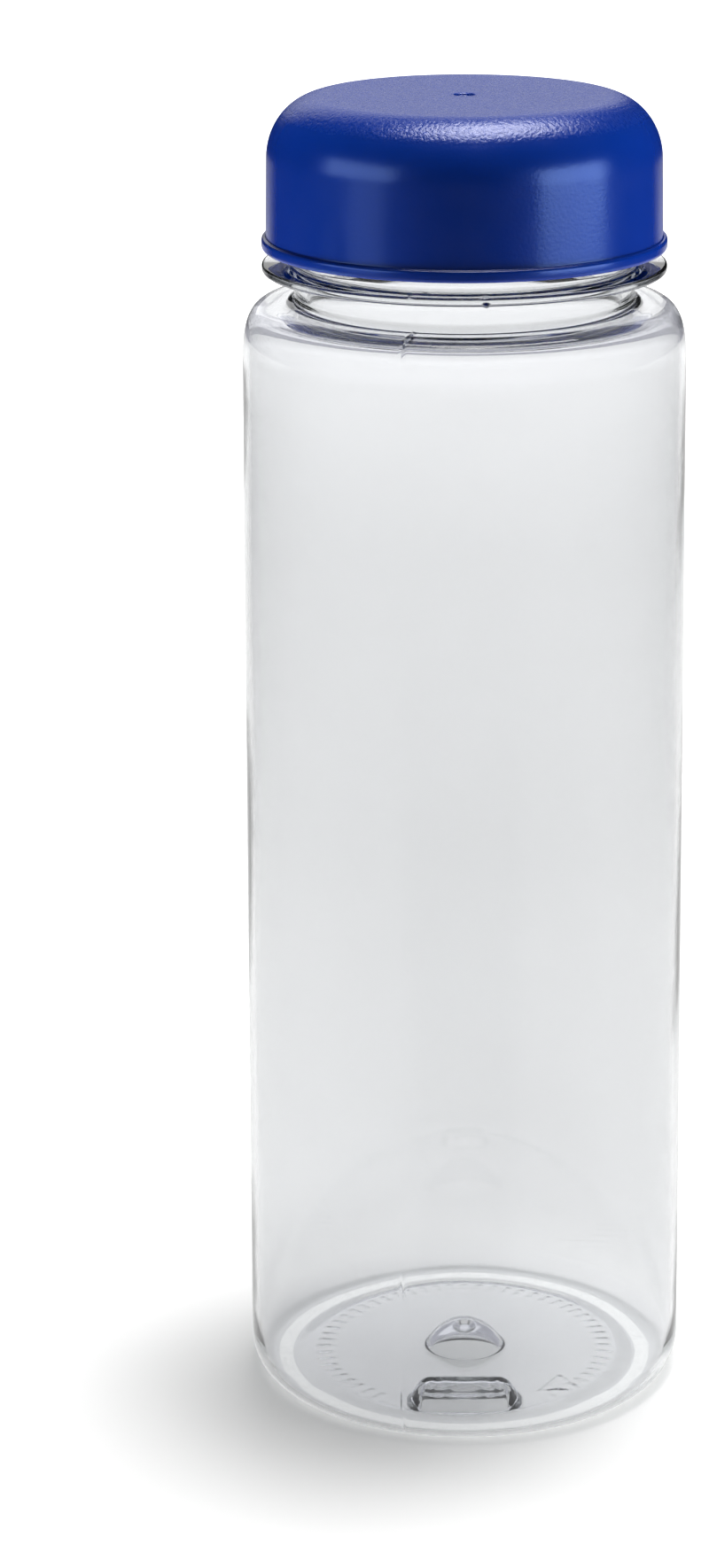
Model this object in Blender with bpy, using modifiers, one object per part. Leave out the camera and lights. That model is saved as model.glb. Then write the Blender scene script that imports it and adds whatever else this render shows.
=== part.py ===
"""Clear drinking bottle with a blue screw cap: a blown body, a moulded cap and a soft seal ring.

Metres, +Z up. The origin is the centre of the standing ring, on the surface that it stands on.
The cap turns and rises about the Z axis. Every turned outline is a list of (radius, height).
"""

import math

import bmesh
import bpy

STEPS = 48  # segments round each turned piece
GAP = 0.0003  # kept between pieces that touch

# Body of the bottle
BODY_RADIUS = 0.0325
BODY_WALL = 0.0010
SHOULDER_BASE_Z = 0.1552
SHOULDER_TOP_Z = 0.1649
SHOULDER_REACH = 0.0050
SHOULDER_POWER = 3.0  # a little squarer than an ellipse
HEEL_REACH = 0.0040
HEEL_HEIGHT = 0.0050
STANDING_INNER_RADIUS = 0.0260

# Push-up base
BASE_WALL = 0.0011
FLOOR_RADIUS = 0.0243
FLOOR_EDGE_Z = 0.0012
FLOOR_DOME_Z = 0.0018
DOME_RADIUS = 0.0068
DOME_TOP_RADIUS = 0.0022
DOME_TOP_Z = 0.0042
GATE_RADIUS = 0.0011
GATE_LENGTH = 0.0006

# Lug that sets which way round the bottle stands, pushed up from under the base
LUG_SIZE = (0.0158, 0.0076)
LUG_CENTRE_Y = -0.0176
LUG_FOOT_Z = 0.0019
LUG_BACK_Z = 0.0056
LUG_FRONT_Z = 0.0036
LUG_EDGE = 0.0011
LUG_WALL = 0.0011

# Neck and its support ring
NECK_RADIUS = 0.0249
NECK_BORE = 0.0230
NECK_FILLET = 0.0013
MOUTH_Z = 0.1876
MOUTH_EDGE = 0.0005
RING_RADIUS = 0.02957
RING_Z = (0.16946, 0.17077)
RING_EDGE = 0.0004

# Screw thread: a round bead, so that one size serves the neck and the cap
THREAD_LEAD = 0.0050
THREAD_TURNS = 1.5
THREAD_BEAD = 0.0011
THREAD_FADE_STEPS = 7
NECK_THREAD_RADIUS = 0.0252
NECK_THREAD_Z = 0.1770
CAP_THREAD_RADIUS = 0.0266
THREAD_OFFSET = 0.00207  # the cap's thread lies this far under the neck's when the cap is tight
BURIED_BEAD = 0.0005

# Cap, with heights from its rim
CAP_RIM_Z = 0.17287
CAP_HEIGHT = 0.02233
CAP_BEAD_RADIUS = 0.0296
CAP_BEAD_HEIGHT = 0.0017
CAP_SKIRT_RADIUS = 0.02896
CAP_CORNER_RADIUS = 0.02882
CAP_CORNER = (0.00808, 0.00917)
CAP_BORE = 0.0269
CAP_TOP_WALL = 0.0018
SEAT_HEIGHT = 0.0170
SEAT_RADIUS = 0.0266
SEAT_INNER_RADIUS = 0.0225
CRATER_RADIUS = 0.0016
CRATER_DEPTH = 0.0005
NIB_RADIUS = 0.0005

# Seal ring
SEAL_RADII = (0.0226, 0.0262)
SEAL_THICKNESS = 0.0016
SEAL_EDGE = 0.0003

CLEAR_PLASTIC = {"colour": (0.86, 0.88, 0.88, 0.25), "roughness": 0.04, "transmission": 1.0}
BLUE_PLASTIC = {"colour": (0.006, 0.035, 0.38, 1.0), "roughness": 0.42, "transmission": 0.0}
WHITE_SILICONE = {"colour": (0.80, 0.80, 0.78, 1.0), "roughness": 0.55, "transmission": 0.0}


def clear_scene():
    for old in list(bpy.data.objects):
        bpy.data.objects.remove(old, do_unlink=True)


def new_collection(name):
    collection = bpy.data.collections.new(name)
    bpy.context.scene.collection.children.link(collection)
    return collection


def plastic(name, colour, roughness, transmission):
    material = bpy.data.materials.new(name)
    material.use_nodes = True
    shader = material.node_tree.nodes["Principled BSDF"]
    shader.inputs["Base Color"].default_value = colour
    shader.inputs["Roughness"].default_value = roughness
    shader.inputs["Metallic"].default_value = 0.0
    shader.inputs["Transmission Weight"].default_value = transmission
    material.diffuse_color = colour
    return material


def arc(centre, radii, start, end, steps, power=2.0):
    """Points on an ellipse, from angle start to end in degrees; a power above 2 squares it up."""
    points = []
    for i in range(steps + 1):
        angle = math.radians(start + (end - start) * i / steps)
        across = math.copysign(abs(math.cos(angle)) ** (2 / power), math.cos(angle))
        up = math.copysign(abs(math.sin(angle)) ** (2 / power), math.sin(angle))
        points.append((centre[0] + radii[0] * across, centre[1] + radii[1] * up))
    return points


def ease(start, end, steps):
    """Points on an S-shaped slope from start to end, level at both of its ends."""
    points = []
    for i in range(steps + 1):
        t = i / steps
        rise = t * t * (3 - 2 * t)
        radius = start[0] + (end[0] - start[0]) * t
        points.append((radius, start[1] + (end[1] - start[1]) * rise))
    return points


def turned(name, outline, collection, closed=False):
    """Turns an outline about Z. Its outer side runs from top to bottom."""
    count = len(outline)
    edges = [(i, i + 1) for i in range(count - 1)]
    if closed:
        edges.append((count - 1, 0))
    mesh = bpy.data.meshes.new(name)
    mesh.from_pydata([(radius, 0.0, height) for radius, height in outline], edges, [])
    piece = bpy.data.objects.new(name, mesh)
    collection.objects.link(piece)
    screw = piece.modifiers.new("turn", "SCREW")
    screw.axis = "Z"
    screw.steps = STEPS
    screw.render_steps = STEPS
    screw.use_merge_vertices = True
    screw.merge_threshold = 0.00001
    screw.use_smooth_shade = True
    return piece


def inner_outline():
    """The bottle's inside, from the centre of its floor up to the mouth."""
    bore = BODY_RADIUS - BODY_WALL
    floor_edge = FLOOR_EDGE_Z + BASE_WALL
    outline = [(0.0, DOME_TOP_Z + BASE_WALL)]
    outline += ease(
        (DOME_TOP_RADIUS + BASE_WALL / 2, DOME_TOP_Z + BASE_WALL),
        (DOME_RADIUS + BASE_WALL / 2, FLOOR_DOME_Z + BASE_WALL),
        4,
    )
    outline += ease((FLOOR_RADIUS, floor_edge), (STANDING_INNER_RADIUS, BASE_WALL), 3)
    heel_reach = HEEL_REACH - BODY_WALL
    heel_height = HEEL_HEIGHT - BASE_WALL
    outline += arc((bore - heel_reach, HEEL_HEIGHT), (heel_reach, heel_height), -90, 0, 5)
    reach = SHOULDER_REACH - BODY_WALL / 2
    rise = SHOULDER_TOP_Z - NECK_FILLET - SHOULDER_BASE_Z
    outline += arc((bore - reach, SHOULDER_BASE_Z), (reach, rise), 0, 90, 8, SHOULDER_POWER)
    corner = (NECK_BORE + NECK_FILLET, SHOULDER_TOP_Z)
    outline += arc(corner, (NECK_FILLET, NECK_FILLET), 270, 180, 3)
    return outline


def outer_outline():
    """The bottle's outside, from the mouth down to the moulding gate under the base's centre."""
    edge = (MOUTH_EDGE, MOUTH_EDGE)
    outline = arc((NECK_BORE + MOUTH_EDGE, MOUTH_Z - MOUTH_EDGE), edge, 180, 90, 2)
    outline += arc((NECK_RADIUS - MOUTH_EDGE, MOUTH_Z - MOUTH_EDGE), edge, 90, 0, 2)
    outline.append((NECK_RADIUS, RING_Z[1]))
    rounding = (RING_EDGE, RING_EDGE)
    outline += arc((RING_RADIUS - RING_EDGE, RING_Z[1] - RING_EDGE), rounding, 90, 0, 2)
    outline += arc((RING_RADIUS - RING_EDGE, RING_Z[0] + RING_EDGE), rounding, 0, -90, 2)
    outline.append((NECK_RADIUS, RING_Z[0]))
    fillet = (NECK_RADIUS + NECK_FILLET, SHOULDER_TOP_Z + NECK_FILLET)
    outline += arc(fillet, (NECK_FILLET, NECK_FILLET), 180, 270, 3)
    shoulder = (BODY_RADIUS - SHOULDER_REACH, SHOULDER_BASE_Z)
    radii = (SHOULDER_REACH, SHOULDER_TOP_Z - SHOULDER_BASE_Z)
    outline += arc(shoulder, radii, 90, 0, 9, SHOULDER_POWER)
    heel = (BODY_RADIUS - HEEL_REACH, HEEL_HEIGHT)
    outline += arc(heel, (HEEL_REACH, HEEL_HEIGHT), 0, -90, 6)
    outline += ease((STANDING_INNER_RADIUS, 0.0), (FLOOR_RADIUS, FLOOR_EDGE_Z), 3)
    outline += ease((DOME_RADIUS, FLOOR_DOME_Z), (DOME_TOP_RADIUS, DOME_TOP_Z), 4)
    outline.append((GATE_RADIUS, DOME_TOP_Z))
    outline.append((GATE_RADIUS, DOME_TOP_Z - GATE_LENGTH))
    outline.append((0.0, DOME_TOP_Z - GATE_LENGTH))
    return outline


def cap_outline():
    """The cap's section, from its top centre down the outside and back up the inside."""
    crater = CAP_HEIGHT - CRATER_DEPTH
    nib_top = CAP_HEIGHT - CRATER_DEPTH / 3
    outline = [(0.0, nib_top), (NIB_RADIUS, nib_top), (NIB_RADIUS, crater)]
    outline += [(CRATER_RADIUS - CRATER_DEPTH, crater), (CRATER_RADIUS, CAP_HEIGHT)]
    centre = (CAP_CORNER_RADIUS - CAP_CORNER[0], CAP_HEIGHT - CAP_CORNER[1])
    outline += arc(centre, CAP_CORNER, 90, 0, 10)
    bead = CAP_BEAD_HEIGHT / 2
    outline.append((CAP_SKIRT_RADIUS, CAP_BEAD_HEIGHT))
    outline += arc((CAP_BEAD_RADIUS - bead / 3, bead), (bead / 3, bead), 80, -80, 4)
    outline.append((CAP_BORE + GAP, 0.0))
    outline.append((CAP_BORE, CAP_BEAD_HEIGHT))
    outline.append((CAP_BORE, SEAT_HEIGHT - CAP_CORNER[1] / 2))
    outline.append((SEAT_RADIUS, SEAT_HEIGHT))
    outline.append((SEAT_INNER_RADIUS, SEAT_HEIGHT))
    ceiling = CAP_HEIGHT - CAP_TOP_WALL
    outline.append((SEAT_INNER_RADIUS - GAP, ceiling - GAP))
    outline += [(SEAT_INNER_RADIUS - CAP_TOP_WALL, ceiling), (0.0, ceiling)]
    return outline


def seal_outline():
    """The seal's section, a flat ring with small rounded edges, with heights from its underside."""
    edge = (SEAL_EDGE, SEAL_EDGE)
    inner = SEAL_RADII[0] + SEAL_EDGE
    outer = SEAL_RADII[1] - SEAL_EDGE
    top = SEAL_THICKNESS - SEAL_EDGE
    outline = arc((outer, top), edge, 90, 0, 2)
    outline += arc((outer, SEAL_EDGE), edge, 0, -90, 2)
    outline += arc((inner, SEAL_EDGE), edge, 270, 180, 2)
    outline += arc((inner, top), edge, 180, 90, 2)
    return outline


def thread_bead(name, path_radius, wall_radius, start_z, collection):
    """One right-hand helical bead whose ends shrink and sink into the wall at wall_radius."""
    count = round(STEPS * THREAD_TURNS)
    curve = bpy.data.curves.new(name, "CURVE")
    curve.dimensions = "3D"
    curve.bevel_depth = THREAD_BEAD
    curve.bevel_resolution = 2
    curve.use_fill_caps = True
    spline = curve.splines.new("POLY")
    spline.points.add(count)
    for i, point in enumerate(spline.points):
        angle = 2 * math.pi * i / STEPS
        full = min(1.0, min(i, count - i) / THREAD_FADE_STEPS)
        radius = wall_radius + (path_radius - wall_radius) * full
        height = start_z + THREAD_LEAD * i / STEPS
        point.co = (radius * math.cos(angle), radius * math.sin(angle), height, 1.0)
        point.radius = (BURIED_BEAD + (THREAD_BEAD - BURIED_BEAD) * full) / THREAD_BEAD
    guide = bpy.data.objects.new(name + "_curve", curve)
    collection.objects.link(guide)
    return mesh_from_curve(guide, name, collection)


def mesh_from_curve(guide, name, collection):
    """A closed mesh of a bevelled curve, with its caps welded on."""
    bpy.context.view_layer.update()
    graph = bpy.context.evaluated_depsgraph_get()
    mesh = bpy.data.meshes.new_from_object(guide.evaluated_get(graph))
    work = bmesh.new()
    work.from_mesh(mesh)
    bmesh.ops.remove_doubles(work, verts=work.verts, dist=0.000001)
    bmesh.ops.recalc_face_normals(work, faces=work.faces)
    work.to_mesh(mesh)
    work.free()
    bead = bpy.data.objects.new(name, mesh)
    bead.matrix_world = guide.matrix_world
    collection.objects.link(bead)
    bpy.data.objects.remove(guide, do_unlink=True)
    return bead


def lug_block(name, inset, foot_z, collection):
    """A wedge with rounded edges: high towards the bottle's centre and lower towards its heel."""
    work = bmesh.new()
    bmesh.ops.create_cube(work, size=1.0)
    width = LUG_SIZE[0] - 2 * inset
    depth = LUG_SIZE[1] - 2 * inset
    for vert in work.verts:
        top_z = LUG_FRONT_Z if vert.co.y < 0 else LUG_BACK_Z
        vert.co.z = top_z - inset if vert.co.z > 0 else foot_z
        vert.co.x *= width
        vert.co.y = LUG_CENTRE_Y + vert.co.y * depth
    mesh = bpy.data.meshes.new(name)
    work.to_mesh(mesh)
    work.free()
    block = bpy.data.objects.new(name, mesh)
    collection.objects.link(block)
    rounding = block.modifiers.new("rounding", "BEVEL")
    rounding.width = LUG_EDGE
    rounding.segments = 2
    return block


def combine(piece, tool, operation):
    """Joins a tool to a piece or cuts it out, and hides the tool."""
    boolean = piece.modifiers.new(tool.name, "BOOLEAN")
    boolean.operation = operation
    boolean.solver = "EXACT"
    boolean.object = tool
    tool.hide_render = True
    tool.display_type = "WIRE"


def finish_piece(piece, material):
    """Turns the modifiers into a plain mesh, shades its round faces smooth and gives it a material."""
    bpy.context.view_layer.update()
    graph = bpy.context.evaluated_depsgraph_get()
    mesh = bpy.data.meshes.new_from_object(piece.evaluated_get(graph))
    piece.modifiers.clear()
    piece.data = mesh
    mesh.name = piece.name
    mesh.shade_smooth()
    mesh.set_sharp_from_angle(angle=math.radians(35))
    mesh.materials.clear()
    mesh.materials.append(material)


def build_body(parts, cutters):
    body = turned("bottle_body", inner_outline() + outer_outline(), parts)
    wall = (NECK_BORE + NECK_RADIUS) / 2
    thread = thread_bead("neck_thread", NECK_THREAD_RADIUS, wall, NECK_THREAD_Z, cutters)
    combine(body, thread, "UNION")
    combine(body, lug_block("lug_outside", 0.0, LUG_FOOT_Z, cutters), "UNION")
    combine(body, lug_block("lug_pocket", LUG_WALL, -LUG_FOOT_Z, cutters), "DIFFERENCE")
    finish_piece(body, plastic("clear_plastic", **CLEAR_PLASTIC))
    return body


def build_cap(parts, cutters):
    cap = turned("screw_cap", cap_outline(), parts)
    wall = (CAP_BORE + CAP_CORNER_RADIUS) / 2
    start_z = NECK_THREAD_Z - THREAD_OFFSET - CAP_RIM_Z
    thread = thread_bead("cap_thread", CAP_THREAD_RADIUS, wall, start_z, cutters)
    combine(cap, thread, "UNION")
    finish_piece(cap, plastic("blue_plastic", **BLUE_PLASTIC))
    return cap


def build_seal(parts):
    seal = turned("seal_ring", seal_outline(), parts, closed=True)
    finish_piece(seal, plastic("white_silicone", **WHITE_SILICONE))
    return seal


def build_bottle():
    parts = new_collection("clear_screw_cap_bottle")
    cutters = new_collection("cutters")
    build_body(parts, cutters)
    screw_axis = bpy.data.objects.new("cap_screw_axis", None)
    screw_axis.location = (0.0, 0.0, CAP_RIM_Z)
    parts.objects.link(screw_axis)
    cap = build_cap(parts, cutters)
    cap.parent = screw_axis
    seal = build_seal(parts)
    seal.parent = screw_axis
    seal.location = (0.0, 0.0, SEAT_HEIGHT - GAP - SEAL_THICKNESS)
    bpy.context.view_layer.update()


clear_scene()
build_bottle()
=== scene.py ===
"""Looks of the clear screw-cap bottle: a clear blown body, a blue cap and a soft seal ring.

Metres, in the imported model's frame: +Z up, origin at the centre of the standing ring, front at -Y.
Each piece is one turned mesh with its fine shape as relief: threads, mould seams, lug and marks.
"""

import math

import bpy
import numpy as np
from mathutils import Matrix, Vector


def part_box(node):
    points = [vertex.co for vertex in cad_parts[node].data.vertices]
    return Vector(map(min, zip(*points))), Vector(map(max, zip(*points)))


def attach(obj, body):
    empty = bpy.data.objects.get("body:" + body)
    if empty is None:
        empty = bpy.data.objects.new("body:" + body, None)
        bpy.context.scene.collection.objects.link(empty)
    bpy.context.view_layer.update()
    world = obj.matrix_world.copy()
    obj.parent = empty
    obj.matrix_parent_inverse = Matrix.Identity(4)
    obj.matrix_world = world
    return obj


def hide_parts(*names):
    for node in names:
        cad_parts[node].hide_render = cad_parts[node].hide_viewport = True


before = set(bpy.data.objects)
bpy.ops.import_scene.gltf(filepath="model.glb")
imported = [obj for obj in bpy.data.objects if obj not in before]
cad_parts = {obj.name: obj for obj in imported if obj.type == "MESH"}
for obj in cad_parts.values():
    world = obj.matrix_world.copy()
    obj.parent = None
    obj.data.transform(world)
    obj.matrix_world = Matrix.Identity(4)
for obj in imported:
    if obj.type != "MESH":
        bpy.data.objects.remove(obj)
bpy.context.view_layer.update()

BODY_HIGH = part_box("bottle_body")[1]
CAP_LOW, CAP_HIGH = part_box("screw_cap")
SEAL_LOW, SEAL_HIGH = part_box("seal_ring")

# Body, with its driving sizes from the frame
BODY_RADIUS = BODY_HIGH.x
MOUTH_Z = BODY_HIGH.z
BODY_WALL = 0.0010
SHOULDER_BASE_Z = 0.1552
SHOULDER_TOP_Z = 0.1649
SHOULDER_REACH = 0.0050
SHOULDER_POWER = 3.0
HEEL_REACH = 0.0040
HEEL_HEIGHT = 0.0050
STANDING_INNER_RADIUS = 0.0262

# Push-up base
BASE_WALL = 0.0009
LOW_PART_Z = 0.01
FLOOR_RADIUS = 0.0228
FLOOR_MARGIN = 0.0002
FLOOR_EDGE_Z = 0.0005
FLOOR_DOME_Z = 0.0008
DOME_RADIUS = 0.0060
DOME_RISE = 0.0038
DOME_POWER = 2.2
DOME_WALL = 0.0009
DOME_FOOT = 0.0003
GATE_RADIUS = 0.0010
GATE_LENGTH = 0.0005
LUG_HALF = (0.0074, 0.0030)
LUG_CENTRE_Y = -0.0190
LUG_TOP_Z = (0.0046, 0.0030)
LUG_CORNER = 0.0024
LUG_LEAST_CORNER = 0.0004
LUG_SLOPE = (0.0013, 0.0004)
LUG_WALL = 0.0010

# Marks on the base, all generic: a ring of ticks and one plain triangle
TICK_COUNT = 60
TICK_RADII = (0.0204, 0.0224)
TICK_HALF_WIDTH = 0.00032
TICK_HEIGHT = 0.00009
TICK_FLANK = (0.4, 1.7)
TICK_END = 0.0004
TICK_FREE_ANGLES = (32, 34)
MARK_CENTRE = (0.0142, -0.0142)
MARK_RADIUS = 0.0034
MARK_LINE = 0.00028
MARK_FLANK = (0.5, 1.6)

# Neck
NECK_RADIUS = 0.0249
NECK_BORE = 0.0230
NECK_FILLET = 0.0013
MOUTH_EDGE = 0.0005
RING_RADIUS = 0.02957
RING_Z = (0.16946, 0.17077)
RING_EDGE = 0.00045
NUB_ANGLE = 6.0
NUB_HALF_ANGLE = 0.6
NUB_HEIGHT = 0.00022

# Mould seam, higher on the neck and on the heel than on the wall, and faint at the back
SEAM_ANGLE = -16.2
SEAM_HALF_WIDTH = 0.00016
SEAM_HEIGHT = 0.00003
SEAM_NECK_HEIGHT = 0.00012
SEAM_NECK_Z = (0.160, 0.164)
SEAM_HEEL_HEIGHT = 0.00006
SEAM_HEEL_Z = (0.004, 0.009)
SEAM_FOOT_Z = (0.0003, 0.002)
BACK_SEAM = 0.2
WAVE_HEIGHT = 0.00005

# Thread
THREAD_LEAD = 0.0050
THREAD_TURNS = 1.5
THREAD_DEPTH = 0.0014
THREAD_HALF_WIDTH = 0.0012
NECK_THREAD_Z = 0.1770
THREAD_OFFSET = 0.00207
THREAD_FADE = 0.12
THREAD_ROUNDING = 0.7

# Cap, with its driving sizes from the frame
CAP_RIM_Z = CAP_LOW.z
CAP_TOP_Z = CAP_HIGH.z
CAP_BEAD_RADIUS = CAP_HIGH.x
CAP_BEAD_HEIGHT = 0.0017
CAP_SKIRT_RADIUS = 0.02896
CAP_CORNER_RADIUS = 0.02882
CAP_CORNER = (0.00808, 0.00917)
BEAD_FILLET = 0.0002
BEAD_EDGE = (0.00035, 0.0003)
RIM_EDGE = 0.0006
CAP_BORE = 0.0269
CAP_TOP_WALL = 0.0018
SEAT_Z = SEAL_HIGH.z + 0.0003
SEAT_RADIUS = 0.0266
SEAT_INNER_RADIUS = 0.0225
SEAT_EDGE = 0.0003
SEAT_DEPTH = 0.0046
CRATER_RADIUS = 0.0016
CRATER_DEPTH = 0.0005
CRATER_EDGE = 0.0004
CRATER_LIP = 0.0001
NIB_RADIUS = 0.0005

SEAL_OUTER_RADIUS = SEAL_HIGH.x
SEAL_INNER_RADIUS = 0.0226
SEAL_EDGE = 0.0003

# Columns of the turned pieces, in degrees apart, and how many go round the body's sides and back
FRONT_ANGLE = 33
FRONT_STEP = 0.6
SIDE_COLUMNS = 206
SEAM_STEPS = (-0.5, -0.25, 0, 0.25, 0.5)
LEAST_STEP = 0.12
CAP_STEP = 1.25
SEAL_STEP = 2.5

# Allowance for rounding when a point is picked by its radius
NEAR = 1e-6

# Clear plastic, tinted less on its base, below the heights given next, than above it: the lighter
# base tint is painted light, which brightens the base
CLEAR_IOR = 1.57
PAINTED_LIGHT_BASE_TINT = (0.862, 0.867, 0.874, 1)
WALL_TINT = (0.800, 0.805, 0.814, 1)
PAINTED_LIGHT_BASE_Z = (0.004, 0.012)
ABSORPTION = (0.50, 0.53, 0.54, 1)
ABSORPTION_DENSITY = 60.0
SHADOW_TINT = (0.935, 0.935, 0.930, 1)

# Blue plastic: its satin sides turn into its matte top between the two heights of MATTE_Z
BLUE_IOR = 1.49
BLUE_TINTS = ((0.0010, 0.0215, 0.200, 1), (0.0012, 0.0245, 0.225, 1))
SATIN_ROUGHNESS = (0.20, 0.25)
MATTE_ROUGHNESS = (0.24, 0.34)
MATTE_Z = (CAP_TOP_Z - 0.0033, CAP_TOP_Z - 0.0025)
SATIN_GRAIN = 0.15

# Silicone
SILICONE_IOR = 1.42
SILICONE_TINTS = ((0.74, 0.74, 0.71, 1), (0.82, 0.82, 0.80, 1))
SILICONE_ROUGHNESS = (0.45, 0.60)

# Camera: the view from in front and a little above
FOCAL_MM = 99.13
SENSOR_MM = 36.0
CAMERA_DISTANCE = 0.6201
CAMERA_HEIGHT = 0.2845
CAMERA_PITCH = 0.201
CAMERA_SHIFT = (-0.0701, -0.280)

# Floor: lit from within, as a light table is, and more so towards the back; (y, radiance)
FLOOR_HALF_SIZE = 8.0
FLOOR_WHITE = (0.9, 0.9, 0.895, 1)
FLOOR_GLOW = ((-0.20, 0.15), (0.25, 0.15), (0.50, 0.44), (0.80, 1.05), (1.30, 1.50))

# Studio: the table's brightness from straight in front, -1, to straight behind, 1. It ends at
# TABLE_EDGE, and higher up, at FAR_EDGE, in the directions past FAR_SIDE that are nearly straight
# behind. What shows through the clear wall is never darker than SEEN_THROUGH.
TABLE_LEVELS = (
    (-1.00, 0.03), (-0.87, 0.03), (-0.78, 0.40), (-0.50, 0.60), (-0.15, 0.85), (1.00, 0.90),
)
TABLE_EDGE = (-0.33, -0.23)
FAR_SIDE = (0.80, 0.94)
FAR_EDGE = (-0.20, -0.12)
STUDIO_GREY = (0.01, 0.01, 0.01, 1)
WALL_EDGE = (0.05, 0.30)
WALL_GREY = (0.02, 0.02, 0.02, 1)
SEEN_THROUGH = (0.74, 0.74, 0.814, 1)

# Lights: what they face, and the two blues of the lamps that light only the cap
BODY_CENTRE = (0.0, 0.0, 0.10)
CAP_CENTRE = (0.0, 0.0, 0.185)
STRIP_BLUE = (0.34, 0.53, 1.0)
FILL_BLUE = (0.15, 0.85, 1.0)


# ---- outlines -------------------------------------------------------------------------------

def arc(centre, radii, start, end, steps, power=2.0):
    """Points on an ellipse, from angle start to end in degrees; a power above 2 squares it up."""
    angle = np.radians(np.linspace(start, end, steps + 1))
    across = np.copysign(np.abs(np.cos(angle)) ** (2 / power), np.cos(angle))
    up = np.copysign(np.abs(np.sin(angle)) ** (2 / power), np.sin(angle))
    return np.column_stack([centre[0] + radii[0] * across, centre[1] + radii[1] * up])


def ease(start, end, steps):
    """Points on an S-shaped slope from start to end, level at both of its ends."""
    t = np.linspace(0, 1, steps + 1)
    rise = t * t * (3 - 2 * t)
    return np.column_stack([
        start[0] + (end[0] - start[0]) * t,
        start[1] + (end[1] - start[1]) * rise,
    ])


def line(start, end, steps):
    """Evenly spaced points on a straight line, both ends included."""
    t = np.linspace(0, 1, steps + 1)[:, None]
    return np.array(start) * (1 - t) + np.array(end) * t


def mound(radius, foot, rise, steps):
    """Points on a rounded mound, from its top on the axis to its foot at the radius."""
    t = np.linspace(0, 1, steps + 1)
    return np.column_stack([radius * t, foot + rise * (1 - t ** DOME_POWER)])


def outline_of(*stretches):
    """One outline from several stretches, without repeated points."""
    points = np.vstack(stretches)
    apart = np.linalg.norm(np.diff(points, axis=0), axis=1) > 1e-7
    return points[np.concatenate([[True], apart])]


def smooth_step(value, low, high):
    t = np.clip((value - low) / (high - low), 0, 1)
    return t * t * (3 - 2 * t)


# ---- turned meshes --------------------------------------------------------------------------

def outline_normals(outline):
    """Outward normals of an outline that runs down its outer side."""
    along = np.gradient(outline, axis=0)
    along /= np.linalg.norm(along, axis=1)[:, None]
    return np.column_stack([-along[:, 1], along[:, 0]])


def turned(name, outline, angles, relief=None):
    """A closed mesh: an outline from axis to axis, or a closed one, turned through the angles.

    relief(radius, height, angle) gives how far each point moves along its normal and how far up.
    """
    normals = outline_normals(outline)
    radius, angle = np.meshgrid(outline[:, 0], angles, indexing="ij")
    height = np.meshgrid(outline[:, 1], angles, indexing="ij")[0]
    if relief is not None:
        outward, upward = relief(radius, height, angle)
        radius = radius + outward * normals[:, :1]
        height = height + outward * normals[:, 1:] + upward
    on_axis = outline[:, 0] < 1e-9
    points = np.stack([radius * np.cos(angle), radius * np.sin(angle), height], axis=-1)
    rows, columns = radius.shape
    ids = np.arange(rows * columns).reshape(rows, columns)
    ids[on_axis] = ids[on_axis][:, :1]
    faces = []
    last = rows if not on_axis.any() else rows - 1
    for row in range(last):
        upper, lower = ids[row], ids[(row + 1) % rows]
        ring = np.column_stack([upper, lower, np.roll(lower, -1), np.roll(upper, -1)])
        if on_axis[row]:
            ring = ring[:, :3]
        elif on_axis[(row + 1) % rows]:
            ring = ring[:, [0, 1, 3]]
        faces.extend(ring.tolist())
    return mesh_object(name, points.reshape(-1, 3), faces)


def mesh_object(name, points, faces):
    """A smooth shaded object without unused points."""
    used = np.unique(np.concatenate([np.array(face) for face in faces]))
    lookup = np.zeros(len(points), dtype=int)
    lookup[used] = np.arange(len(used))
    mesh = bpy.data.meshes.new(name)
    mesh.from_pydata(points[used].tolist(), [], [[int(lookup[i]) for i in face] for face in faces])
    mesh.validate()
    mesh.shade_smooth()
    piece = bpy.data.objects.new(name, mesh)
    bpy.context.scene.collection.objects.link(piece)
    return piece


def angle_from_front(angle):
    """Signed angle from the front, -Y, in degrees; positive to the right."""
    return (np.degrees(angle) + 90 + 180) % 360 - 180


def body_angles():
    """Columns round the body: close together at the front, where the lug is, and at the seams."""
    front = np.arange(-FRONT_ANGLE, FRONT_ANGLE, FRONT_STEP)
    rest = np.linspace(FRONT_ANGLE, 360 - FRONT_ANGLE, SIDE_COLUMNS)
    seams = [SEAM_ANGLE + half + step for half in (0, 180) for step in SEAM_STEPS]
    degrees = np.concatenate([front, rest, seams])
    degrees = np.unique(np.round((degrees - 90) % 360, 3))
    keep = np.concatenate([[True], np.diff(degrees) > LEAST_STEP])
    return np.radians(degrees[keep])


# ---- relief ---------------------------------------------------------------------------------

def thread_relief(height, angle, start_z):
    """Height of a round helical thread whose two ends fade out."""
    turn = (angle / (2 * math.pi)) % 1.0
    ridge = np.zeros_like(height)
    for whole in range(math.ceil(THREAD_TURNS)):
        along = turn + whole
        across = (height - start_z - THREAD_LEAD * along) / THREAD_HALF_WIDTH
        bead = np.clip(1 - across ** 2, 0, 1) ** THREAD_ROUNDING
        start = smooth_step(along, 0, THREAD_FADE)
        end = 1 - smooth_step(along, THREAD_TURNS - THREAD_FADE, THREAD_TURNS)
        ridge = np.maximum(ridge, bead * start * end)
    return ridge * THREAD_DEPTH


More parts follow.
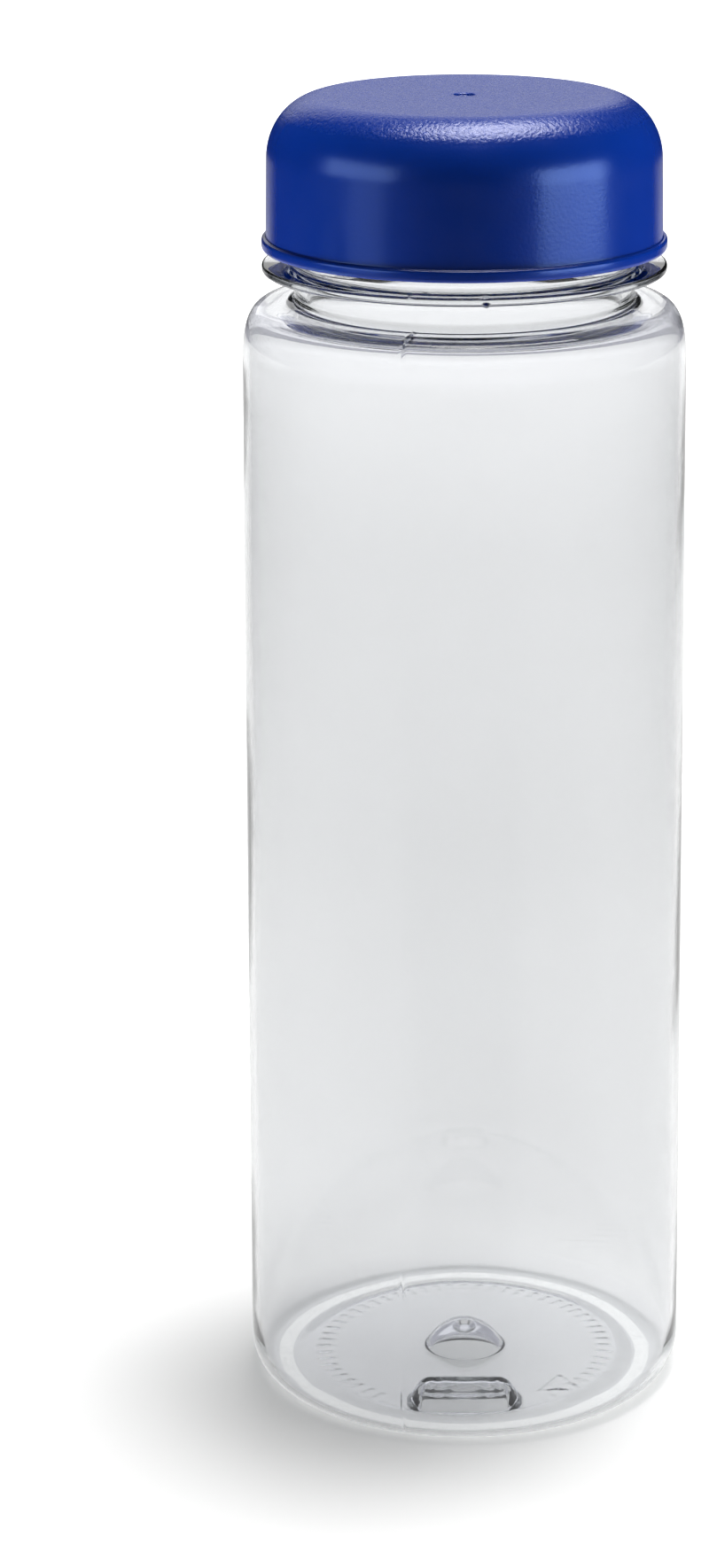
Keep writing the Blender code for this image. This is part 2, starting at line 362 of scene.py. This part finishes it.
def lug_relief(x, y, height, inset, slope):
    """Lift that turns the floor into the lug: sloped sides and a top that falls to the heel."""
    half_x = LUG_HALF[0] - inset
    half_y = LUG_HALF[1] - inset
    corner = max(LUG_CORNER - inset, LUG_LEAST_CORNER)
    out_x = np.maximum(np.abs(x) - half_x + corner, 0)
    out_y = np.maximum(np.abs(y - LUG_CENTRE_Y) - half_y + corner, 0)
    outside = np.hypot(out_x, out_y) - corner
    inside = 1 - smooth_step(outside, -slope, slope)
    back = (y - LUG_CENTRE_Y + LUG_HALF[1]) / (2 * LUG_HALF[1])
    top = LUG_TOP_Z[1] + (LUG_TOP_Z[0] - LUG_TOP_Z[1]) * np.clip(back, 0, 1) - inset
    return inside * np.maximum(top - height, 0)


def tick_relief(radius, angle):
    """A ring of short radial ticks that leaves the lug's side free."""
    pitch = 2 * math.pi / TICK_COUNT
    off_centre = np.abs((angle + pitch / 2) % pitch - pitch / 2) * radius
    crest, foot = TICK_FLANK
    width = 1 - smooth_step(off_centre, crest * TICK_HALF_WIDTH, foot * TICK_HALF_WIDTH)
    length = smooth_step(radius, TICK_RADII[0] - TICK_END, TICK_RADII[0])
    length = length * (1 - smooth_step(radius, TICK_RADII[1], TICK_RADII[1] + TICK_END))
    clear_of_lug = smooth_step(np.abs(angle_from_front(angle)), *TICK_FREE_ANGLES)
    return TICK_HEIGHT * width * length * clear_of_lug


def mark_relief(x, y):
    """A plain triangle outline."""
    distance = np.full_like(x, -1.0)
    for corner in (90, 210, 330):
        normal = (math.cos(math.radians(corner + 180)), math.sin(math.radians(corner + 180)))
        side = (x - MARK_CENTRE[0]) * normal[0] + (y - MARK_CENTRE[1]) * normal[1]
        distance = np.maximum(distance, side - MARK_RADIUS / 2)
    crest, foot = MARK_FLANK
    return TICK_HEIGHT * (1 - smooth_step(np.abs(distance), crest * MARK_LINE, foot * MARK_LINE))


def seam_relief(radius, angle, height):
    """The mould's two parting lines, half a turn apart."""
    turn = angle_from_front(angle) - SEAM_ANGLE
    away = np.abs((turn + 90) % 180 - 90)
    ridge = np.exp(-((np.radians(away) * radius / SEAM_HALF_WIDTH) ** 2))
    rise = SEAM_HEIGHT + SEAM_NECK_HEIGHT * smooth_step(height, *SEAM_NECK_Z)
    rise = rise + SEAM_HEEL_HEIGHT * (1 - smooth_step(height, *SEAM_HEEL_Z))
    back = (turn + 90) % 360 > 180
    return ridge * rise * np.where(back, BACK_SEAM, 1.0) * smooth_step(height, *SEAM_FOOT_Z)


def wall_waves(angle, height):
    """Slow changes in the blown wall's thickness, which move its inner surface a little."""
    slow = np.sin(3 * angle + 40 * height) * np.sin(37 * height + 1.3)
    quick = np.sin(7 * angle - 90 * height + 0.7) * 0.4
    return WAVE_HEIGHT * (slow + quick)


# ---- the body -------------------------------------------------------------------------------

def body_inner():
    bore = BODY_RADIUS - BODY_WALL
    floor_z = FLOOR_DOME_Z + BASE_WALL
    reach = SHOULDER_REACH - BODY_WALL / 2
    rise = SHOULDER_TOP_Z - NECK_FILLET - SHOULDER_BASE_Z
    heel = (bore - HEEL_REACH + BODY_WALL, HEEL_HEIGHT)
    heel_radii = (HEEL_REACH - BODY_WALL, HEEL_HEIGHT - BASE_WALL)
    corner = (NECK_BORE + NECK_FILLET, SHOULDER_TOP_Z)
    return outline_of(
        mound(DOME_RADIUS, floor_z, DOME_RISE, 18),
        line((DOME_RADIUS + DOME_FOOT, floor_z), (FLOOR_RADIUS, FLOOR_EDGE_Z + BASE_WALL), 50),
        ease((FLOOR_RADIUS, FLOOR_EDGE_Z + BASE_WALL), (STANDING_INNER_RADIUS, BASE_WALL), 12),
        arc(heel, heel_radii, -90, 0, 14),
        line((bore, HEEL_HEIGHT), (bore, SHOULDER_BASE_Z), 30),
        arc((bore - reach, SHOULDER_BASE_Z), (reach, rise), 0, 90, 22, SHOULDER_POWER),
        arc(corner, (NECK_FILLET, NECK_FILLET), 270, 180, 8),
        line((NECK_BORE, SHOULDER_TOP_Z), (NECK_BORE, MOUTH_Z - MOUTH_EDGE), 8),
    )


def body_outer():
    edge = (MOUTH_EDGE, MOUTH_EDGE)
    ring_edge = (RING_EDGE, RING_EDGE)
    ring_centre = RING_RADIUS - RING_EDGE
    fillet = (NECK_RADIUS + NECK_FILLET, SHOULDER_TOP_Z + NECK_FILLET)
    shoulder = (BODY_RADIUS - SHOULDER_REACH, SHOULDER_BASE_Z)
    shoulder_radii = (SHOULDER_REACH, SHOULDER_TOP_Z - SHOULDER_BASE_Z)
    heel = (BODY_RADIUS - HEEL_REACH, HEEL_HEIGHT)
    under_dome = mound(DOME_RADIUS - DOME_WALL, FLOOR_DOME_Z, DOME_RISE - DOME_WALL, 16)[::-1]
    under_dome = under_dome[under_dome[:, 0] > GATE_RADIUS]
    gate_z = FLOOR_DOME_Z + DOME_RISE - DOME_WALL - GATE_LENGTH
    return outline_of(
        arc((NECK_BORE + MOUTH_EDGE, MOUTH_Z - MOUTH_EDGE), edge, 180, 90, 4),
        arc((NECK_RADIUS - MOUTH_EDGE, MOUTH_Z - MOUTH_EDGE), edge, 90, 0, 4),
        line((NECK_RADIUS, MOUTH_Z - MOUTH_EDGE), (NECK_RADIUS, RING_Z[1] + RING_EDGE), 60),
        arc((NECK_RADIUS + RING_EDGE, RING_Z[1] + RING_EDGE), ring_edge, 180, 270, 4),
        arc((ring_centre, RING_Z[1] - RING_EDGE), ring_edge, 90, 0, 5),
        arc((ring_centre, RING_Z[0] + RING_EDGE), ring_edge, 0, -90, 5),
        arc((NECK_RADIUS + RING_EDGE, RING_Z[0] - RING_EDGE), ring_edge, 90, 180, 4),
        arc(fillet, (NECK_FILLET, NECK_FILLET), 180, 270, 8),
        arc(shoulder, shoulder_radii, 90, 0, 24, SHOULDER_POWER),
        line((BODY_RADIUS, SHOULDER_BASE_Z), (BODY_RADIUS, HEEL_HEIGHT), 20),
        arc(heel, (HEEL_REACH, HEEL_HEIGHT), 0, -90, 16),
        line((BODY_RADIUS - HEEL_REACH, 0.0), (STANDING_INNER_RADIUS, 0.0), 3),
        ease((STANDING_INNER_RADIUS, 0.0), (FLOOR_RADIUS, FLOOR_EDGE_Z), 12),
        line((FLOOR_RADIUS, FLOOR_EDGE_Z), (under_dome[0, 0] + DOME_FOOT, FLOOR_DOME_Z), 40),
        under_dome,
        line((GATE_RADIUS * 0.8, gate_z), (0.0, gate_z), 3),
    )


def body_relief(inner_rows):
    """The body's fine shape. Rows before inner_rows are on the inside."""
    def relief(radius, height, angle):
        inside = np.zeros(radius.shape, dtype=bool)
        inside[:inner_rows] = True
        x = radius * np.cos(angle)
        y = radius * np.sin(angle)
        floor = (radius < FLOOR_RADIUS + FLOOR_MARGIN) & (height < LOW_PART_Z)
        inner_floor = inside & floor
        under_floor = ~inside & floor
        outward = np.zeros_like(radius)
        upward = np.zeros_like(radius)
        marks = tick_relief(radius, angle) + mark_relief(x, y)
        lug = lug_relief(x, y, height, 0.0, LUG_SLOPE[0])
        lug_hollow = lug_relief(x, y, height, LUG_WALL, LUG_SLOPE[1])
        upward += np.where(inner_floor, lug + 0.5 * marks, 0)
        upward += np.where(under_floor, lug_hollow + marks, 0)
        wall = inside & (radius > BODY_RADIUS - BODY_WALL - NEAR)
        outward += np.where(wall, wall_waves(angle, height), 0)
        outside = ~inside & ~floor
        outward += np.where(outside & (height < RING_Z[0]), seam_relief(radius, angle, height), 0)
        threaded = outside & (radius < NECK_RADIUS + NEAR) & (height > CAP_RIM_Z)
        outward += np.where(threaded, thread_relief(height, angle, NECK_THREAD_Z), 0)
        ring_foot = outside & (radius > RING_RADIUS - RING_EDGE)
        ring_foot = ring_foot & (np.abs(height - RING_Z[0]) < RING_EDGE)
        nub = np.exp(-((angle_from_front(angle) - NUB_ANGLE) / NUB_HALF_ANGLE) ** 2)
        outward += np.where(ring_foot, NUB_HEIGHT * nub, 0)
        return outward, upward
    return relief


def build_body():
    inner = body_inner()
    outline = outline_of(inner, body_outer())
    body = turned("clear_body", outline, body_angles(), body_relief(len(inner)))
    body.data.materials.append(clear_plastic())
    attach(body, "bottle")
    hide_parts("bottle_body")


# ---- the cap and the seal -------------------------------------------------------------------

def cap_outline():
    """The cap's section, from the nib in its top round the rim and back to the axis inside."""
    return outline_of(cap_crater(), cap_outside(), cap_inside())


def cap_crater():
    """The gate's crater, with its nib in the middle."""
    floor = CAP_TOP_Z - CRATER_DEPTH
    nib_top = CAP_TOP_Z - CRATER_DEPTH / 3
    lip = CRATER_RADIUS + CRATER_LIP
    return outline_of(
        line((0.0, nib_top), (NIB_RADIUS * 0.6, nib_top), 2),
        arc((NIB_RADIUS * 0.6, floor), (NIB_RADIUS * 0.4, nib_top - floor), 90, 0, 4),
        line((NIB_RADIUS, floor), (CRATER_RADIUS - CRATER_EDGE, floor), 3),
        arc((CRATER_RADIUS - CRATER_EDGE, CAP_TOP_Z), (CRATER_EDGE, CRATER_DEPTH), -90, 0, 4),
        arc((lip, CAP_TOP_Z - CRATER_LIP), (CRATER_LIP, CRATER_LIP), 180, 90, 2),
    )


def cap_outside():
    corner = (CAP_CORNER_RADIUS - CAP_CORNER[0], CAP_TOP_Z - CAP_CORNER[1])
    skirt_foot = CAP_RIM_Z + CAP_BEAD_HEIGHT
    fillet = (CAP_SKIRT_RADIUS + BEAD_FILLET, skirt_foot + BEAD_FILLET)
    bead = CAP_BEAD_RADIUS - BEAD_EDGE[0]
    bead_z = CAP_RIM_Z + CAP_BEAD_HEIGHT / 2
    bead_radii = (BEAD_EDGE[0], CAP_BEAD_HEIGHT / 2 - BEAD_EDGE[1])
    return outline_of(
        line((CRATER_RADIUS + CRATER_LIP, CAP_TOP_Z), (corner[0], CAP_TOP_Z), 14),
        arc(corner, CAP_CORNER, 90, 0, 32),
        line((CAP_CORNER_RADIUS, corner[1]), (CAP_SKIRT_RADIUS, fillet[1] + 0.00005), 12),
        arc(fillet, (BEAD_FILLET, BEAD_FILLET), 180, 270, 3),
        arc((bead, bead_z + BEAD_EDGE[1]), bead_radii, 90, 0, 6),
        arc((bead, bead_z - BEAD_EDGE[1]), bead_radii, 0, -90, 6),
    )


def cap_inside():
    ceiling = CAP_TOP_Z - CAP_TOP_WALL
    seat_edge = (SEAT_RADIUS - SEAT_EDGE, SEAT_Z - SEAT_EDGE)
    cove = (SEAT_INNER_RADIUS - CAP_TOP_WALL, ceiling - CAP_TOP_WALL)
    return outline_of(
        line((CAP_BEAD_RADIUS - BEAD_EDGE[0], CAP_RIM_Z), (CAP_BORE + RIM_EDGE, CAP_RIM_Z), 2),
        arc((CAP_BORE + RIM_EDGE, CAP_RIM_Z + RIM_EDGE), (RIM_EDGE, RIM_EDGE), 270, 180, 4),
        line((CAP_BORE, CAP_RIM_Z + RIM_EDGE), (CAP_BORE, SEAT_Z - SEAT_DEPTH), 50),
        line((CAP_BORE, SEAT_Z - SEAT_DEPTH), (SEAT_RADIUS, seat_edge[1]), 4),
        arc(seat_edge, (SEAT_EDGE, SEAT_EDGE), 0, 90, 3),
        line((seat_edge[0], SEAT_Z), (SEAT_INNER_RADIUS, SEAT_Z), 3),
        line((SEAT_INNER_RADIUS, SEAT_Z), (SEAT_INNER_RADIUS, cove[1]), 2),
        arc(cove, (CAP_TOP_WALL, CAP_TOP_WALL), 0, 90, 8),
        line((cove[0], ceiling), (0.0, ceiling), 6),
    )


def cap_relief(radius, height, angle):
    """The cap's inner thread stands inward from its bore."""
    bore = (np.abs(radius - CAP_BORE) < NEAR) & (height < SEAT_Z - SEAT_EDGE)
    start_z = NECK_THREAD_Z - THREAD_OFFSET
    outward = np.where(bore, thread_relief(height, angle, start_z), 0)
    return outward, np.zeros_like(radius)


def build_cap():
    angles = np.radians(np.arange(0, 360, CAP_STEP))
    cap = turned("blue_cap", cap_outline(), angles, cap_relief)
    cap.data.materials.append(blue_plastic())
    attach(cap, "cap")
    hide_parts("screw_cap")


def build_seal():
    edge = (SEAL_EDGE, SEAL_EDGE)
    inner = SEAL_INNER_RADIUS + SEAL_EDGE
    outer = SEAL_OUTER_RADIUS - SEAL_EDGE
    top = SEAL_HIGH.z - SEAL_EDGE
    foot = SEAL_LOW.z + SEAL_EDGE
    outline = outline_of(
        arc((outer, top), edge, 90, 0, 4),
        arc((outer, foot), edge, 0, -90, 4),
        arc((inner, foot), edge, 270, 180, 4),
        arc((inner, top), edge, 180, 90, 4),
    )
    seal = turned("silicone_seal", outline, np.radians(np.arange(0, 360, SEAL_STEP)))
    seal.data.materials.append(silicone())
    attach(seal, "seal")
    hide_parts("seal_ring")


# ---- materials ------------------------------------------------------------------------------

def new_material(name):
    """A material with node tools: its tree, its Principled shader and its output."""
    material = bpy.data.materials.new(name)
    material.use_nodes = True
    tree = material.node_tree
    shader = next(node for node in tree.nodes if node.type == "BSDF_PRINCIPLED")
    output = next(node for node in tree.nodes if node.type == "OUTPUT_MATERIAL")
    return material, tree, shader, output


def add_node(tree, kind, **values):
    """A node with its properties and unlinked inputs set by name."""
    node = tree.nodes.new(kind)
    for key, value in values.items():
        name = key.replace("_", " ")
        if hasattr(node, key):
            setattr(node, key, value)
        else:
            node.inputs[name].default_value = value
    return node


def noise(tree, coordinates, scale, detail=2.0, roughness=0.5):
    node = add_node(tree, "ShaderNodeTexNoise", Scale=scale, Detail=detail, Roughness=roughness)
    tree.links.new(coordinates, node.inputs["Vector"])
    return node.outputs["Fac"]


def map_range(tree, value, low, high, to_low, to_high):
    node = tree.nodes.new("ShaderNodeMapRange")
    node.inputs["From Min"].default_value = low
    node.inputs["From Max"].default_value = high
    node.inputs["To Min"].default_value = to_low
    node.inputs["To Max"].default_value = to_high
    tree.links.new(value, node.inputs["Value"])
    return node.outputs["Result"]


def maths(tree, operation, first, second):
    node = add_node(tree, "ShaderNodeMath", operation=operation)
    tree.links.new(first, node.inputs[0])
    tree.links.new(second, node.inputs[1])
    return node.outputs["Value"]


def level_ramp(tree, value, levels):
    """A grey level that follows a value through the (value, level) pairs."""
    low, high = levels[0][0], levels[-1][0]
    ramp = tree.nodes.new("ShaderNodeValToRGB")
    tree.links.new(map_range(tree, value, low, high, 0, 1), ramp.inputs["Fac"])
    stops = ramp.color_ramp.elements
    while len(stops) < len(levels):
        stops.new(1.0)
    for stop, (at, level) in zip(stops, levels):
        stop.position = (at - low) / (high - low)
        stop.color = (level, level, level, 1)
    return ramp.outputs["Color"]


def mixed(tree, factor, first, second, kind="RGBA", blend="MIX"):
    """A mix from the first to the second, each of which is a constant or a socket."""
    node = add_node(tree, "ShaderNodeMix", data_type=kind, blend_type=blend)
    tree.links.new(factor, node.inputs["Factor"])
    for name, value in (("A", first), ("B", second)):
        if isinstance(value, bpy.types.NodeSocket):
            tree.links.new(value, node.inputs[name])
        else:
            node.inputs[name].default_value = value
    return node.outputs["Result"]


def coordinates_of(tree, kind="Object"):
    """A coordinate socket, and the X, Y and Z that it splits into."""
    where = tree.nodes.new("ShaderNodeTexCoord").outputs[kind]
    split = tree.nodes.new("ShaderNodeSeparateXYZ")
    tree.links.new(where, split.inputs["Vector"])
    return where, split.outputs


def bump(tree, shader, height, strength, distance):
    node = add_node(tree, "ShaderNodeBump", Strength=strength, Distance=distance)
    tree.links.new(height, node.inputs["Height"])
    tree.links.new(node.outputs["Normal"], shader.inputs["Normal"])


def clear_plastic():
    """Clear blown plastic: a glossy skin with a faint ripple, a grey tint in its thickness, and
    painted light on its base.
    """
    material, tree, shader, output = new_material("clear_plastic")
    shader.inputs["IOR"].default_value = CLEAR_IOR
    shader.inputs["Transmission Weight"].default_value = 1.0
    where, axes = coordinates_of(tree)
    # The lighter tint low down is painted light, which brightens the base above the wall's grey
    above_base = map_range(tree, axes["Z"], PAINTED_LIGHT_BASE_Z[0], PAINTED_LIGHT_BASE_Z[1], 0, 1)
    tint = mixed(tree, above_base, PAINTED_LIGHT_BASE_TINT, WALL_TINT)
    tree.links.new(tint, shader.inputs["Base Color"])
    haze = map_range(tree, noise(tree, where, 90.0, 3.0), 0.35, 0.75, 0.010, 0.035)
    tree.links.new(haze, shader.inputs["Roughness"])
    bump(tree, shader, noise(tree, where, 150.0, 2.0), 0.05, 0.0002)
    absorb = add_node(tree, "ShaderNodeVolumeAbsorption", Density=ABSORPTION_DENSITY)
    absorb.inputs["Color"].default_value = ABSORPTION
    tree.links.new(absorb.outputs["Volume"], output.inputs["Volume"])
    light_path = tree.nodes.new("ShaderNodeLightPath")
    shadow = tree.nodes.new("ShaderNodeBsdfTransparent")
    shadow.inputs["Color"].default_value = SHADOW_TINT
    mix = tree.nodes.new("ShaderNodeMixShader")
    tree.links.new(light_path.outputs["Is Shadow Ray"], mix.inputs["Fac"])
    tree.links.new(shader.outputs["BSDF"], mix.inputs[1])
    tree.links.new(shadow.outputs["BSDF"], mix.inputs[2])
    tree.links.new(mix.outputs["Shader"], output.inputs["Surface"])
    return material


def blue_plastic():
    """Moulded blue plastic: satin sides and a spark-textured matte top."""
    material, tree, shader, _ = new_material("blue_plastic")
    shader.inputs["IOR"].default_value = BLUE_IOR
    where, axes = coordinates_of(tree)
    tint = mixed(tree, noise(tree, where, 60.0, 3.0), *BLUE_TINTS)
    tree.links.new(tint, shader.inputs["Base Color"])
    top = map_range(tree, axes["Z"], MATTE_Z[0], MATTE_Z[1], 0.0, 1.0)
    grain = noise(tree, where, 2000.0, 2.0)
    satin = map_range(tree, noise(tree, where, 220.0), 0.3, 0.7, *SATIN_ROUGHNESS)
    matte = map_range(tree, grain, 0.35, 0.65, *MATTE_ROUGHNESS)
    tree.links.new(mixed(tree, top, satin, matte, "FLOAT"), shader.inputs["Roughness"])
    depth = maths(tree, "MULTIPLY", grain, map_range(tree, top, 0.0, 1.0, SATIN_GRAIN, 1.0))
    bump(tree, shader, depth, 0.55, 0.0002)
    return material


def silicone():
    """Soft whitish silicone with a faint mottling."""
    material, tree, shader, _ = new_material("white_silicone")
    shader.inputs["IOR"].default_value = SILICONE_IOR
    shader.inputs["Subsurface Weight"].default_value = 0.3
    shader.inputs["Subsurface Scale"].default_value = 0.001
    where = coordinates_of(tree)[0]
    tint = mixed(tree, noise(tree, where, 300.0), *SILICONE_TINTS)
    tree.links.new(tint, shader.inputs["Base Color"])
    mottling = map_range(tree, noise(tree, where, 700.0), 0.3, 0.7, *SILICONE_ROUGHNESS)
    tree.links.new(mottling, shader.inputs["Roughness"])
    bump(tree, shader, noise(tree, where, 1500.0), 0.15, 0.0001)
    return material


# ---- studio ---------------------------------------------------------------------------------

def build_floor():
    """A plain white floor. It shows behind the clear body but not in the reflections."""
    mesh = bpy.data.meshes.new("floor")
    half = FLOOR_HALF_SIZE
    corners = [(-half, -half, 0), (half, -half, 0), (half, half, 0), (-half, half, 0)]
    mesh.from_pydata(corners, [], [(0, 1, 2, 3)])
    floor = bpy.data.objects.new("floor", mesh)
    bpy.context.scene.collection.objects.link(floor)
    material, tree, shader, _ = new_material("floor_white")
    shader.inputs["Base Color"].default_value = FLOOR_WHITE
    shader.inputs["Roughness"].default_value = 1.0
    shader.inputs["Specular IOR Level"].default_value = 0.0
    shader.inputs["Emission Color"].default_value = (1, 1, 1, 1)
    glow = level_ramp(tree, coordinates_of(tree)[1]["Y"], FLOOR_GLOW)
    tree.links.new(glow, shader.inputs["Emission Strength"])
    mesh.materials.append(material)
    floor.visible_glossy = False


def softbox(name, place, target, size, radiance, rays, colour=(1, 1, 1), only=None):
    """A rectangular soft light at place that faces target, with an even radiance.

    rays: "lit" for one that lights surfaces but isn't seen, "mirrored" for one that is seen in
    reflections and lights nothing, or "backdrop" for one that is also seen through the clear wall.
    only: the one piece that the light reaches.
    """
    lamp = bpy.data.lights.new(name, "AREA")
    lamp.shape = "RECTANGLE"
    lamp.size, lamp.size_y = size
    lamp.energy = radiance * math.pi * size[0] * size[1]
    lamp.color = colour
    light = bpy.data.objects.new(name, lamp)
    light.location = place
    light.rotation_euler = (Vector(target) - Vector(place)).to_track_quat("-Z", "Y").to_euler()
    light.visible_camera = False
    light.visible_diffuse = rays == "lit"
    light.visible_glossy = rays != "lit"
    light.visible_transmission = rays == "backdrop"
    bpy.context.scene.collection.objects.link(light)
    if only:
        reached = bpy.data.collections.new(name)
        reached.objects.link(bpy.data.objects[only])
        light.light_linking.receiver_collection = reached


def build_world():
    """The studio: a pale table below the horizon, with a dark front, and near-dark walls above."""
    world = bpy.data.worlds.new("studio")
    world.use_nodes = True
    tree = world.node_tree
    background = next(node for node in tree.nodes if node.type == "BACKGROUND")
    axes = coordinates_of(tree, "Generated")[1]
    above = map_range(tree, axes["Z"], TABLE_EDGE[0], TABLE_EDGE[1], 0, 1)
    beside = map_range(tree, axes["Y"], FAR_SIDE[0], FAR_SIDE[1], 1, 0)
    far_above = map_range(tree, axes["Z"], FAR_EDGE[0], FAR_EDGE[1], 0, 1)
    off_table = maths(tree, "MAXIMUM", maths(tree, "MULTIPLY", above, beside), far_above)
    studio = mixed(tree, off_table, level_ramp(tree, axes["Y"], TABLE_LEVELS), STUDIO_GREY)
    rise = map_range(tree, axes["Z"], WALL_EDGE[0], WALL_EDGE[1], 0, 1)
    walls = mixed(tree, rise, studio, WALL_GREY)
    light_path = tree.nodes.new("ShaderNodeLightPath")
    through = light_path.outputs["Is Transmission Ray"]
    seen = mixed(tree, through, walls, SEEN_THROUGH, blend="LIGHTEN")
    tree.links.new(seen, background.inputs["Color"])
    bpy.context.scene.world = world


def build_lights():
    """Two overhead lamps, highlights for the cap and the body, blue lamps for the cap and a pale
    back.
    """
    softbox("side_key", (0.17, 0.0, 1.25), BODY_CENTRE, (0.44, 0.42), 15.5, "lit")
    softbox("back_key", (0.06, 0.16, 1.25), BODY_CENTRE, (0.34, 0.32), 33.0, "lit")
    for name, radiance, piece in (("cap_top", 12.3, "blue_cap"), ("body_top", 6.0, "clear_body")):
        softbox(
            name, (0.11, 0.14, 1.25), BODY_CENTRE, (0.58, 0.85), radiance, "mirrored",
            only=piece,
        )
    for name, side, radiance in (("right_fill", 1, 34.0), ("left_fill", -1, 28.0)):
        softbox(
            name, (0.25 * side, -0.02, 0.02), CAP_CENTRE, (0.12, 0.12), radiance, "lit",
            colour=FILL_BLUE, only="blue_cap",
        )
    strips = (
        ("right_strip", (0.734, -0.342, 0.22), (0.66, 0.36), 7.2),
        ("left_strip", (-0.717, -0.365, 0.31), (0.68, 0.30), 4.2),
        ("left_glow", (-0.68, -0.43, 0.08), (0.32, 0.16), 1.5),
    )
    for name, place, size, radiance in strips:
        softbox(
            name, place, CAP_CENTRE, size, radiance, "mirrored",
            colour=STRIP_BLUE, only="blue_cap",
        )
    softbox("back_box", (-0.10, 0.80, 0.55), BODY_CENTRE, (0.6, 0.6), 0.85, "backdrop")


def build_camera():
    data = bpy.data.cameras.new("camera")
    data.lens = FOCAL_MM
    data.sensor_width = SENSOR_MM
    data.shift_x, data.shift_y = CAMERA_SHIFT
    camera = bpy.data.objects.new("camera", data)
    camera.location = (0.0, -CAMERA_DISTANCE, CAMERA_HEIGHT)
    camera.rotation_euler = (math.pi / 2 - CAMERA_PITCH, 0.0, 0.0)
    bpy.context.scene.collection.objects.link(camera)
    bpy.context.scene.camera = camera


def set_render_looks():
    scene = bpy.context.scene
    scene.view_settings.view_transform = "Standard"
    scene.cycles.caustics_refractive = True
    scene.cycles.caustics_reflective = False
    scene.cycles.max_bounces = 24
    scene.cycles.transmission_bounces = 20
    scene.cycles.glossy_bounces = 16
    scene.cycles.transparent_max_bounces = 24


build_body()
build_cap()
build_seal()
build_floor()
build_world()
build_lights()
build_camera()
set_render_looks()
